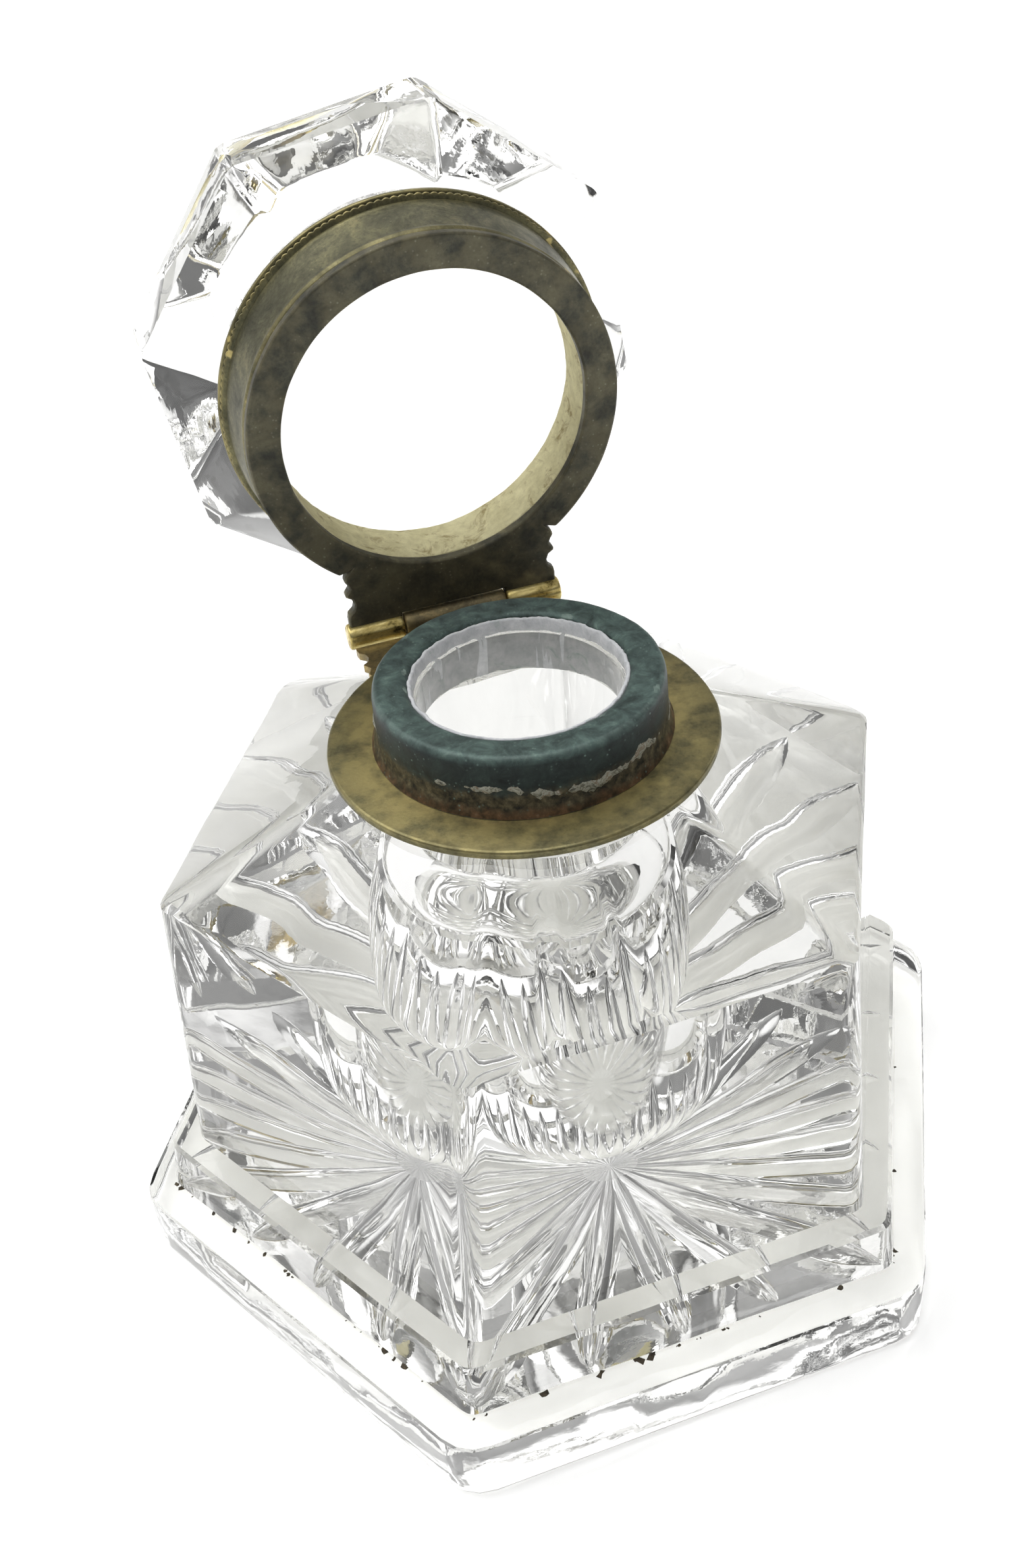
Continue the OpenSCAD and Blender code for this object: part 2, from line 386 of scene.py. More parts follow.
class Finish(Nodes):
    """A material with one Principled shader and the nodes that feed it."""

    def __init__(self, name):
        self.mat = bpy.data.materials.new(name)
        self.mat.use_nodes = True
        super().__init__(self.mat.node_tree)
        self.shader = self.tree.nodes["Principled BSDF"]
        self.normal = None

    def set(self, **values):
        for key, value in values.items():
            self.shader.inputs[key.replace("_", " ")].default_value = value

    def place(self, stretch):
        """The object coordinates, scaled."""
        where = self.node("ShaderNodeTexCoord")
        mapping = self.node("ShaderNodeMapping")
        mapping.inputs["Scale"].default_value = stretch
        self.link(where.outputs["Object"], mapping.inputs["Vector"])
        return mapping.outputs["Vector"]

    def noise(self, scale, detail=4.0, rough=0.6, stretch=(1, 1, 1), warp=0.0):
        """Grey noise with about scale blotches to the metre."""
        tex = self.node("ShaderNodeTexNoise")
        for key, value in (("Scale", scale), ("Detail", detail), ("Roughness", rough), ("Distortion", warp)):
            tex.inputs[key].default_value = value
        self.link(self.place(stretch), tex.inputs["Vector"])
        return tex.outputs["Fac"]

    def cells(self, scale):
        """Distance from the middles of scattered cells, about scale of them to the metre."""
        tex = self.node("ShaderNodeTexVoronoi")
        tex.inputs["Scale"].default_value = scale
        self.link(self.place((1, 1, 1)), tex.inputs["Vector"])
        return tex.outputs["Distance"]

    def height(self):
        """The object coordinate along Z, in metres."""
        where = self.node("ShaderNodeTexCoord")
        split = self.node("ShaderNodeSeparateXYZ")
        self.link(where.outputs["Object"], split.inputs["Vector"])
        return split.outputs["Z"]

    def ramp(self, value, *stops):
        """A colour or grey ramp from (position, colour or grey) stops."""
        node = self.node("ShaderNodeValToRGB")
        elements = node.color_ramp.elements
        while len(elements) < len(stops):
            elements.new(0.5)
        for element, (at, colour) in zip(elements, stops):
            element.position = at
            element.color = (*colour, 1) if isinstance(colour, tuple) else (colour, colour, colour, 1)
        self.link(value, node.inputs["Fac"])
        return node.outputs["Color"]

    def blend(self, share, a, b):
        """b over a, by share. a and b are colours or outputs."""
        node = self.node("ShaderNodeMix", data_type="RGBA")
        self.link(share, node.inputs["Factor"])
        for socket, value in ((node.inputs[6], a), (node.inputs[7], b)):
            if isinstance(value, tuple):
                socket.default_value = (*value, 1)
            else:
                self.link(value, socket)
        return node.outputs[2]

    def worn_edges(self, low=0.5, high=0.6):
        """High on outward edges."""
        return self.ramp(self.node("ShaderNodeNewGeometry").outputs["Pointiness"], (low, 0.0), (high, 1.0))

    def bump(self, height, strength, distance):
        """Adds a bump on top of those already there. distance is in metres."""
        node = self.node("ShaderNodeBump")
        node.inputs["Strength"].default_value = strength
        node.inputs["Distance"].default_value = distance
        self.link(height, node.inputs["Height"])
        if self.normal is not None:
            self.link(self.normal, node.inputs["Normal"])
        self.normal = node.outputs["Normal"]
        self.link(self.normal, self.shader.inputs["Normal"])

    def colour(self, value):
        self.link(value, self.shader.inputs["Base Color"])

    def rough(self, value):
        self.link(value, self.shader.inputs["Roughness"])


def cut_glass(name, pale, clear):
    """Polished cut glass, faintly wavy and smeared."""
    f = Finish(name)
    f.set(Transmission_Weight=1.0, IOR=CRYSTAL_IOR)
    smear = f.noise(70, 5, 0.65)
    f.rough(f.ramp(smear, (0.4, 0.0), (0.62, 0.01), (0.8, 0.04)))
    f.colour(f.ramp(f.noise(40, 3), (0.3, pale), (0.7, clear)))
    f.bump(f.noise(60, 2, 0.4), 0.3, 0.0006)
    f.bump(f.noise(500, 3, 0.5, (1, 1, 0.2)), 0.08, 0.00008)
    return f.mat


def ground_glass():
    """The frosted middle of the star."""
    f = Finish("ground_glass")
    f.set(Transmission_Weight=1.0, IOR=CRYSTAL_IOR)
    grain = f.noise(2500, 3, 0.7)
    f.rough(f.ramp(grain, (0.3, 0.25), (0.7, 0.5)))
    f.colour(f.ramp(grain, (0.3, (0.9, 0.91, 0.9)), (0.7, (0.97, 0.97, 0.96))))
    f.bump(grain, 0.35, 0.0001)
    return f.mat


def hazed_glass():
    """The floor of the ink cavity, dulled by years of ink."""
    f = Finish("hazed_glass")
    f.set(Transmission_Weight=1.0, IOR=CRYSTAL_IOR)
    patch = f.noise(160, 5, 0.65)
    f.rough(f.ramp(patch, (0.3, 0.15), (0.7, 0.24)))
    f.colour(f.ramp(patch, (0.3, (0.93, 0.93, 0.92)), (0.7, (0.98, 0.98, 0.97))))
    return f.mat


def old_brass(name, dark, middle, light, edge, rough, metal, speckle):
    """Tarnished brass: blotches, fine grain, scattered pale specks and brighter worn edges."""
    f = Finish(name)
    f.set(Metallic=metal, Specular_IOR_Level=0.3)
    blotch = f.noise(190, 9, 0.74, warp=0.5)
    colour = f.ramp(blotch, (0.32, dark), (0.5, middle), (0.68, light))
    grain = f.noise(2600, 4, 0.7)
    colour = f.blend(f.ramp(grain, (0.48, 0.0), (0.68, 0.6)), colour, dark)
    spots = f.ramp(f.cells(1500), (0.0, 1.0), (0.22, 0.0))
    scattered = f.ramp(f.noise(300, 3, 0.6), (0.42, 0.0), (0.62, speckle))
    share = f.maths("MULTIPLY", spots, scattered)
    colour = f.blend(share, colour, tuple(min(1.0, c * 2.2 + 0.05) for c in light))
    worn = f.maths("MULTIPLY", f.worn_edges(), f.ramp(f.noise(300, 4), (0.35, 0.15), (0.6, 0.9)))
    f.colour(f.blend(worn, colour, edge))
    f.rough(f.ramp(blotch, (0.3, rough + 0.16), (0.7, rough - 0.06)))
    f.bump(grain, 0.3, 0.00004)
    f.bump(blotch, 0.25, 0.00012)
    return f.mat


def verdigris():
    """The rim: rust-brown at its foot, then grime, then blue-green to the top, with painted shade darkest
    half way up.
    """
    f = Finish("verdigris_brass")
    blotch = f.noise(420, 8, 0.72, warp=0.5)
    teal = f.ramp(
        blotch,
        (0.3, (0.024, 0.034, 0.033)), (0.48, (0.065, 0.095, 0.088)),
        (0.6, (0.1, 0.15, 0.135)), (0.75, (0.2, 0.28, 0.24)),
    )
    grime = f.ramp(
        f.noise(900, 5, 0.7),
        (0.35, (0.014, 0.014, 0.012)), (0.5, (0.08, 0.068, 0.04)), (0.68, (0.2, 0.17, 0.1)),
    )
    rust = f.ramp(
        f.noise(500, 5, 0.7),
        (0.4, (0.05, 0.035, 0.018)), (0.6, (0.19, 0.11, 0.055)), (0.72, (0.28, 0.2, 0.13)),
    )
    # How far up the wall, from 0 to 1, and the same with a ragged edge
    up = f.maths("MULTIPLY", f.maths("SUBTRACT", f.height(), RIM_LOW.z), 1 / (RIM_HIGH.z - RIM_LOW.z))
    ragged = f.maths("ADD", up, f.maths("MULTIPLY", f.maths("SUBTRACT", f.noise(260, 6, 0.75), 0.5), 0.45))
    brown = f.blend(f.ramp(ragged, (0.04, 0.0), (0.18, 1.0)), rust, grime)
    colour = f.blend(f.ramp(ragged, (0.36, 0.0), (0.52, 1.0)), brown, teal)
    # Painted shade: the colour is darkened along the wall, most from half way up to near the top
    painted_shade = f.ramp(up, (0.0, 0.9), (0.3, 0.8), (0.5, 0.24), (0.86, 0.28), (0.96, 1.0))
    colour = f.blend(painted_shade, (0.0, 0.0, 0.0), colour)
    specks = f.maths(
        "MULTIPLY",
        f.ramp(f.cells(1500), (0.0, 1.0), (0.25, 0.0)),
        f.ramp(f.noise(400, 4), (0.46, 0.0), (0.6, 0.8)),
    )
    colour = f.blend(specks, colour, (0.2, 0.29, 0.25))
    worn = f.maths("MULTIPLY", f.worn_edges(0.51, 0.58), f.ramp(f.noise(700, 4), (0.35, 0.2), (0.6, 0.8)))
    f.colour(f.blend(worn, colour, (0.3, 0.38, 0.34)))
    f.set(Metallic=0.3, Specular_IOR_Level=0.25)
    f.rough(f.ramp(blotch, (0.3, 0.38), (0.7, 0.56)))
    f.bump(f.noise(2200, 4, 0.7), 0.35, 0.00004)
    f.bump(blotch, 0.35, 0.0001)
    return f.mat


def crust():
    f = Finish("corrosion_crust")
    patch = f.noise(900, 7, 0.75, warp=0.8)
    f.colour(f.ramp(
        patch,
        (0.34, (0.03, 0.032, 0.026)), (0.44, (0.16, 0.155, 0.11)), (0.52, (0.38, 0.38, 0.31)),
        (0.6, (0.17, 0.12, 0.07)), (0.7, (0.5, 0.5, 0.43)),
    ))
    f.rough(f.ramp(patch, (0.3, 0.7), (0.7, 0.95)))
    f.bump(patch, 0.8, 0.0003)
    return f.mat


def worn_gold():
    """Brass rubbed bright by use, with grime left in its hollows."""
    f = Finish("worn_hinge_brass")
    grime = f.noise(420, 6, 0.7, (0.5, 1, 1), 0.4)
    f.colour(f.ramp(
        grime,
        (0.33, (0.08, 0.06, 0.022)), (0.43, (0.56, 0.44, 0.16)), (0.6, (0.92, 0.78, 0.36)),
    ))
    f.set(Metallic=0.95)
    f.rough(f.ramp(grime, (0.35, 0.5), (0.6, 0.24)))
    f.bump(f.noise(900, 4, 0.6, (0.3, 1, 1)), 0.25, 0.00005)
    f.bump(grime, 0.3, 0.00012)
    return f.mat


def plaster(name, low, high, stain, stain_from):
    """Plaster mottled between two colours, with patches of stain."""
    f = Finish(name)
    mottle = f.noise(600, 7, 0.72, warp=0.3)
    colour = f.ramp(mottle, (0.3, low), (0.7, high))
    share = f.ramp(f.noise(220, 7, 0.74, (1, 1, 1.6), 0.8), (stain_from, 0.0), (stain_from + 0.12, 0.85))
    f.colour(f.blend(share, colour, stain))
    f.rough(f.ramp(mottle, (0.3, 0.75), (0.7, 0.95)))
    f.bump(f.noise(1500, 5, 0.7), 0.6, 0.0001)
    f.bump(mottle, 0.6, 0.0003)
    return f.mat


def dirt():
    f = Finish("dirt")
    lump = f.noise(1500, 4, 0.7)
    f.colour(f.ramp(lump, (0.35, (0.03, 0.024, 0.016)), (0.7, (0.12, 0.095, 0.06))))
    f.rough(f.ramp(lump, (0.3, 0.8), (0.7, 0.95)))
    f.bump(lump, 0.5, 0.0001)
    return f.mat


DIRT = dirt()
# Painted shade: the body's glass is tinted grey to darken what is seen through it, standing in for the darker
# room and the shadowed paper beneath; the plinth and the lid have the clear copy
PAINTED_SHADE_GLASS = cut_glass("cut_glass", (0.74, 0.74, 0.725), (0.82, 0.82, 0.805))
CLEAR_GLASS = cut_glass("clear_cut_glass", (0.92, 0.92, 0.905), (0.965, 0.965, 0.95))
GROUND = ground_glass()
HAZED = hazed_glass()
OLIVE = old_brass(
    "olive_brass",
    dark=(0.045, 0.045, 0.029), middle=(0.12, 0.114, 0.064), light=(0.25, 0.228, 0.115),
    edge=(0.66, 0.54, 0.22), rough=0.34, metal=0.75, speckle=0.3,
)
DARK = old_brass(
    "dark_lid_brass",
    dark=(0.014, 0.015, 0.015), middle=(0.038, 0.04, 0.035), light=(0.088, 0.087, 0.062),
    edge=(0.34, 0.3, 0.17), rough=0.46, metal=0.35, speckle=0.9,
)
LEAF = old_brass(
    "leaf_brass",
    dark=(0.05, 0.045, 0.034), middle=(0.16, 0.135, 0.08), light=(0.42, 0.31, 0.14),
    edge=(0.7, 0.54, 0.24), rough=0.36, metal=0.7, speckle=0.4,
)
GREEN = verdigris()
CRUST = crust()
GOLD = worn_gold()
NECK_PLASTER = plaster(
    "neck_plaster", low=(0.48, 0.5, 0.52), high=(0.78, 0.78, 0.8), stain=(0.3, 0.4, 0.36), stain_from=0.58
)
LINING_PLASTER = plaster(
    "lining_plaster", low=(0.58, 0.53, 0.3), high=(0.85, 0.8, 0.52), stain=(0.28, 0.2, 0.07), stain_from=0.54
)


# ---------------------------------------------------------------- glass body and plinth

BEVEL = 0.5 * MM
# Hand cutting left one upper corner of the block off its place: corner number and move
BLOCK_MOVES = {4: (1.7 * MM, -0.4 * MM)}
GROOVE_HALF = 2.3 * MM
GROOVE_DEPTH = 1.8 * MM
GROOVE_RUN_OUT = 11 * MM
FROST_R = 3.6 * MM
# The sides of a ray, seen from above and from the middle outwards
LEFT, RIGHT = 1, -1
HEXAGON = PolygonLoops(6, 24)
# Rows of quads, counted back from the middle of the cavity's floor, that have the haze
HAZED_ROWS = 8


def ground(corners, size, seed, soft=1.0):
    """The hexagon's loop round these corners, left a little uneven."""
    return HEXAGON.uneven(HEXAGON.around(corners, soft), size, seed)


def body_outside():
    """Loops from the edge of the underside, over the step, block and shoulder, to the top of the neck."""
    base_z = GLASS_LOW.z
    block_z = base_z + STEP_H
    shoulder_z = block_z + BLOCK_H
    boss_z = shoulder_z + SHOULDER_H
    step_r = GLASS_HIGH.x
    top = HEXAGON.corners(BLOCK_TOP_R, shoulder_z, BLOCK_MOVES)
    foot = HEXAGON.corners(BLOCK_R, block_z)
    under_top = [f.lerp(t, 1 - BEVEL * 1.1 / BLOCK_H) for f, t in zip(foot, top)]
    rise = (boss_z - shoulder_z) / (BLOCK_TOP_R * math.cos(math.pi / 6) - BOSS_R)
    inward = [p * (1 - BEVEL * 1.7 / p.xy.length) for p in top]
    for p in inward:
        p.z = shoulder_z + rise * BEVEL * 1.4
    return [
        HEXAGON.at(step_r - BEVEL * 0.8, base_z),
        ground(HEXAGON.corners(step_r, base_z + BEVEL), 0.12 * MM, 1),
        ground(HEXAGON.corners(STEP_TOP_R, block_z - BEVEL), 0.1 * MM, 2),
        ground(HEXAGON.corners(STEP_TOP_R - BEVEL, block_z), 0.1 * MM, 3),
        HEXAGON.around(foot),
        ground(under_top, 0.14 * MM, 4),
        ground(inward, 0.14 * MM, 5, 1.1),
        HEXAGON.circle_on_facets(BOSS_R, inward, boss_z, SEAT_Z - 0.05 * MM),
        HEXAGON.circle(BOSS_R, SEAT_Z - 0.02 * MM),
        HEXAGON.circle(NECK_R, SEAT_Z - 0.02 * MM),
        HEXAGON.circle(NECK_R, GLASS_HIGH.z - 0.5 * MM),
    ]


def body_inside():
    """Loops over the neck's lip and down the bore and the cavity to the middle of its floor."""
    lip = 0.5 * MM
    lip_z = GLASS_HIGH.z - lip
    section = arc(NECK_R - lip, lip_z, lip, 0, 90, 4)[1:] + arc(BORE_R + lip, lip_z, lip, 90, 180, 4)
    belly = CAVITY_FLOOR + CAVITY_BELLY

    def wall_r(z):
        return CAVITY_R - (z - belly) ** 2 / (2 * WALL_CURVE)

    shoulder_r = wall_r(CAVITY_TOP) - 0.4 * MM
    throat_steps, wall_steps, round_steps = 14, 16, 14
    for k in range(throat_steps + 1):
        t = k / throat_steps
        ease = t * t * (3 - 2 * t)
        section.append((BORE_R + (shoulder_r - BORE_R) * ease, THROAT_TOP + (CAVITY_TOP - THROAT_TOP) * t))
    # The wall meets the rounding at the angle where both have the same slope
    meet = (CAVITY_BELLY - CAVITY_ROUND) / (WALL_CURVE - CAVITY_ROUND)
    low = CAVITY_FLOOR + CAVITY_ROUND * (1 - math.sin(meet))
    high = CAVITY_TOP - 0.5 * MM
    heights = [high + (low - high) * k / wall_steps for k in range(wall_steps)]
    section += [(wall_r(z), z) for z in heights]
    centre = (wall_r(low) - CAVITY_ROUND * math.cos(meet), CAVITY_FLOOR + CAVITY_ROUND)
    section += arc(*centre, CAVITY_ROUND, -math.degrees(meet), -90, round_steps)
    section += [(centre[0] * share, CAVITY_FLOOR) for share in (0.8, 0.45, 0.1)]
    return [HEXAGON.circle(r, z) for r, z in section]


def star(base):
    """Points and faces of the star-cut underside, and its frosted middle's faces.

    It joins the body's first loop, at index 0, and its own points start at index base. Every ray is a
    round-bottomed groove with a run-out at its tip, and towards the middle the grooves run together."""
    z0 = GLASS_LOW.z
    verts, faces, frost = [], [], []
    half = math.pi / STAR_RAYS
    part = GROOVE_HALF / math.tan(half)  # the radius where neighbouring grooves part
    per_side = STAR_RAYS // 6
    across_steps = 5

    def add(p):
        verts.append(p)
        return base + len(verts) - 1

    def station(along, across, at, tip):
        """A cross-section's bottom, and its two halves out to the groove's edge or the ridge."""
        left = min(1.0, (tip - at) / GROOVE_RUN_OUT)
        depth = GROOVE_DEPTH * (1 - (1 - left) ** 2)
        width = GROOVE_HALF * (1 - (1 - left) ** 2) ** 0.75
        reach = min(at * math.tan(half), width)
        rows = {LEFT: [], RIGHT: []}
        for side, row in rows.items():
            for k in range(1, across_steps + 1):
                x = reach * k / across_steps
                z = z0 + depth * (1 - (x / width) ** 2)
                row.append(along * at + across * side * x + Vector((0, 0, z)))
        return along * at + Vector((0, 0, z0 + depth)), rows

    # For each ray the points of its cross-sections, every row starting at the groove's bottom, and its tip
    rays = []
    inner = [FROST_R + (part - FROST_R) * k / 4 for k in range(5)]
    for i in range(STAR_RAYS):
        phi = 2 * i * half
        along, across = polar(1, phi), polar(1, phi + math.pi / 2)
        tip = STAR_REACH / math.cos((i % per_side) * 2 * half - math.pi / 6)
        outer = [tip - GROOVE_RUN_OUT * share for share in (1.0, 0.8, 0.6, 0.42, 0.26, 0.14, 0.05)]
        grid = []
        for at in inner + outer:
            bottom, rows = station(along, across, at, tip)
            if at < part * 1.0001:
                # The ridge on the right is the left one of the ray before
                rows[RIGHT].pop()
            rows = {side: [add(p) for p in row] for side, row in rows.items()}
            first = add(bottom)
            grid.append({side: [first] + row for side, row in rows.items()})
        rays.append((grid, add(along * tip + Vector((0, 0, z0)))))
    for i, (grid, _) in enumerate(rays):
        before, _ = rays[i - 1]
        for k in range(len(inner)):
            grid[k][RIGHT].append(before[k][LEFT][-1])
    centre = add(Vector((0, 0, z0 + GROOVE_DEPTH + 0.1 * MM)))
    for i in range(STAR_RAYS):
        grid, tip = rays[i]
        after, after_tip = rays[(i + 1) % STAR_RAYS]
        for rows, next_rows in zip(grid, grid[1:]):
            for side in (LEFT, RIGHT):
                a, b = rows[side], next_rows[side]
                faces += [(a[k], b[k], b[k + 1], a[k + 1]) for k in range(across_steps)]
        for side in (LEFT, RIGHT):
            first, last = grid[0][side], grid[-1][side]
            faces += [(last[k], tip, last[k + 1]) for k in range(across_steps)]
            frost += [(centre, first[k], first[k + 1]) for k in range(across_steps)]
        # The flat field between this ray and the next, out to the edge
        s, k = divmod(i, per_side)
        start = s * HEXAGON.per_side + k * HEXAGON.steps // per_side
        edge = [start + j for j in range(HEXAGON.steps // per_side + 1)]
        near = [rows[LEFT][-1] for rows in grid[len(inner) - 1:]] + [tip]
        far = [after_tip] + [rows[RIGHT][-1] for rows in reversed(after[len(inner):])]
        faces.append(tuple(near + edge + far))
        if k == per_side - 1:
            corner = s * HEXAGON.per_side + HEXAGON.steps
            faces.append((after_tip, corner, corner + 1, corner + 2, (corner + 3) % HEXAGON.count))
    return verts, faces, frost


def make_body():
    verts, faces = loft(body_outside() + body_inside(), start_cap=False)
    floor_faces = range(len(faces) - 1 - HAZED_ROWS * HEXAGON.count, len(faces))
    more, star_faces, frost = star(len(verts))
    first_frost = len(faces) + len(star_faces)
    body = build("glass_body_cut", verts + more, faces + star_faces + frost)
    finish_piece(body, "base", "glass", PAINTED_SHADE_GLASS, GROUND, HAZED, replaces=["glass_body"])
    for index in range(first_frost, first_frost + len(frost)):
        body.data.polygons[index].material_index = 1
    for index in floor_faces:
        body.data.polygons[index].material_index = 2
    fix_normals(body)


def fix_normals(obj):
    bm = bmesh.new()
    bm.from_mesh(obj.data)
    bmesh.ops.recalc_face_normals(bm, faces=bm.faces[:])
    bm.to_mesh(obj.data)
    bm.free()


def make_plinth():
    loops = PolygonLoops(6, 12, corner=3.2 * MM)
    r, top = PLINTH_HIGH.x, PLINTH_HIGH.z
    stack = [
        loops.at(r - 0.6 * MM, PLINTH_LOW.z),
        loops.at(r - 0.2 * MM, PLINTH_LOW.z + 0.15 * MM),
        loops.uneven(loops.at(r - 0.05 * MM, PLINTH_LOW.z + 0.6 * MM), 0.04 * MM, 6),
        loops.uneven(loops.at(r - 0.1 * MM, top - 0.5 * MM), 0.04 * MM, 7),
        loops.at(r - 0.3 * MM, top - 0.14 * MM),
        loops.at(r - 0.7 * MM, top - 0.02 * MM),
    ]
    plinth = build("glass_plinth_cut", *loft(stack))
    finish_piece(plinth, "base", "glass", CLEAR_GLASS, replaces=["glass_plinth"])
    fix_normals(plinth)


def make_grit():
    """Dark specks caught along the joint of the body and the plinth, most of them at the left and front."""
    draw = random.Random(11)
    corners = HEXAGON.corners(GLASS_HIGH.x + 0.1 * MM, PLINTH_HIGH.z)
    specks_per_side = (8, 6, 16, 22, 16, 5)
    verts, faces = [], []
    for s, specks in enumerate(specks_per_side):
        for _ in range(specks):
            at = corners[s].lerp(corners[(s + 1) % 6], draw.random() ** 1.3)
            size = 0.08 * MM + 0.3 * MM * draw.random() ** 3
            turn = draw.random() * math.pi
            base = len(verts)
            verts.append(at + Vector((0, 0, size * 0.7)))
            for k in range(6):
                stretch = size * (0.6 + 0.8 * draw.random())
                stretch *= 1.6 if k % 3 else 0.9
                verts.append(at + polar(stretch, turn + k * math.pi / 3, size * 0.12))
            verts.append(at + Vector((0, 0, 0.005 * MM)))
            for k in range(6):
                a, b = base + 1 + k, base + 1 + (k + 1) % 6
                faces += [(base, a, b), (base + 7, b, a)]
    grit = build("joint_grit", verts, faces)
    finish_piece(grit, "base", "cement", DIRT)


make_body()
make_plinth()
make_grit()


# ---------------------------------------------------------------- collar


# How much wider the rim is at its foot
RIM_FLARE = 0.7 * MM


def mm(value):
    """Metres to the millimetres that half sections are drawn in."""
    return value / MM


def make_collar():
    low, high = mm(FLANGE_LOW.z), mm(FLANGE_HIGH.z)
    outer, inner = mm(FLANGE_HIGH.x), mm(CEMENT_HIGH.x)
    section = rounded([(inner, low, 0), (outer, low, 0.35), (outer - 0.02, high, 0.4), (inner, high, 0)])
    flange = lathe("flange_turned", section, 240, 0.05 * MM)
    finish_piece(flange, "base", "collar_brass", OLIVE, replaces=["collar_flange"])

    foot, top = mm(RIM_LOW.z), mm(RIM_HIGH.z)
    wall, bore = mm(RIM_HIGH.x - RIM_FLARE), mm(RIM_BORE_R)
    section = rounded([
        (inner + 0.02, foot, 0), (wall + 0.7, foot + 0.02, 0.1), (wall + 0.5, foot + 0.45, 0.3),
        (wall + 0.2, foot + 1.3, 0.6), (wall + 0.04, foot + 2.8, 0.8),
        (wall - 0.02, top - 1.0, 0.4), (wall - 0.3, top - 0.06, 0.5), (wall - 1.4, top, 0.6),
        (bore + 0.5, top - 0.1, 0.4), (bore, top - 0.5, 0.3), (bore, top - 0.88, 0),
        (inner + 0.02, top - 0.88, 0),
    ])
    rim = lathe("rim_turned", section, 240, 0.06 * MM)
    finish_piece(rim, "base", "verdigris_brass", GREEN, replaces=["collar_rim"])


def make_crust():
    """The ragged line of corrosion round the rim's wall, between the green above and the brown below."""
    verts = []
    segments, around = 420, 7
    foot, wall = RIM_LOW.z, RIM_HIGH.x - RIM_FLARE
    for s in range(segments):
        a = 2 * math.pi * s / segments
        at = Vector((math.cos(a) * 3, math.sin(a) * 3, 0.5))
        level = foot + (2.8 + 1.3 * noise.noise(at * 0.5) + 0.5 * noise.noise(at * 2.2)) * MM
        front = 0.5 - 0.5 * math.sin(a)
        size = 0.25 + 0.5 * noise.noise(at * 0.9) + 0.35 * noise.noise(at * 3.1) + 0.25 * noise.noise(at * 9)
        size = max(size * (0.35 + 0.9 * front), 0.03)
        for k in range(around):
            t = k / (around - 1)
            ragged = 1 + 0.6 * noise.noise(Vector((a * 25, k * 0.9, 2)))
            z = level + (t - 0.5) * 2.6 * size * ragged * MM
            flare = RIM_FLARE * max(0.0, 1 - (z - foot) / (2.8 * MM)) ** 2
            bulge = 0.22 * MM * min(size * 2, 1) * math.sin(math.pi * t) * ragged
            verts.append(polar(wall + flare - 0.02 * MM + bulge, a, z))
        verts.append(polar(wall - 0.25 * MM, a, level))
    piece = build("rim_corrosion", verts, ring_faces(segments, around + 1), 60)
    finish_piece(piece, "base", "verdigris_brass", CRUST)
    fix_normals(piece)


def make_neck_plaster():
    low, top, lip = mm(CEMENT_LOW.z), mm(RIM_HIGH.z) - 0.92, mm(CEMENT_HIGH.z)
    outer, neck, bore = mm(CEMENT_HIGH.x) - 0.04, mm(NECK_R) + 0.06, mm(RIM_BORE_R)
    glass_top = mm(GLASS_HIGH.z) + 0.04
    section = rounded([
        (neck, low, 0), (outer, low, 0), (outer, top, 0),
        (bore - 0.02, top, 0), (bore - 0.05, lip - 0.02, 0.2),
        (bore - 0.45, lip - 0.05, 0.2), (bore - 0.6, glass_top + 0.7, 0.5), (bore - 0.5, glass_top, 0),
        (neck, glass_top, 0),
    ], 3)
    ring = lathe("neck_plaster_ring", section, 300, 0.2 * MM, 6.0)
    finish_piece(ring, "base", "cement", NECK_PLASTER, replaces=["neck_cement"])


make_collar()
make_crust()
make_neck_plaster()


# ---------------------------------------------------------------- hinge


# Where a leaf's side runs into its collar or plate
LEAF_ROOT_X, LEAF_ROOT_Y = 12.4 * MM, 16.6 * MM
ROOT_ANGLE = math.atan2(LEAF_ROOT_Y, LEAF_ROOT_X)


def leaf_side():
    """The scalloped right-hand edge of a leaf, from beside the barrel to its root, as (x, y) in metres."""
    half = mm(LEAF_HIGH.x)
    knots = [
        (half + 0.02, 23.6), (half - 0.1, 22.9), (half - 0.75, 22.3), (half - 0.95, 21.5),
        (half - 0.7, 20.7), (half - 0.05, 20.25), (half + 0.05, 20.0), (half - 0.25, 19.6),
        (half - 0.6, 19.1), (half - 0.4, 18.5), (half - 0.05, 18.0), (half - 0.3, 17.3),
        (half - 0.9, mm(LEAF_ROOT_Y)),
    ]
    return [(x * MM, y * MM) for x, y in knots]


def leaf_outline(root, carries_middle):
    """A leaf's outline: its edge beside the barrel, its scalloped sides and the arc of its root.

    The edge reaches the knuckles that the leaf carries and clears the others."""
    barrel = KNUCKLE_HIGH.y - HINGE.y
    clear, joined = HINGE.y - barrel - 0.3 * MM, HINGE.y - barrel * 0.55
    middle_y, outer_y = (joined, clear) if carries_middle else (clear, joined)
    half, middle = LEAF_HIGH.x, KNUCKLE_HIGH.x + 0.1 * MM
    left = [(-half, outer_y), (-middle, outer_y), (-middle, middle_y)]
    right = [(-x, y) for x, y in reversed(left)]
    side = leaf_side()
    return left + right + side + root + [(-x, y) for x, y in reversed(side)]


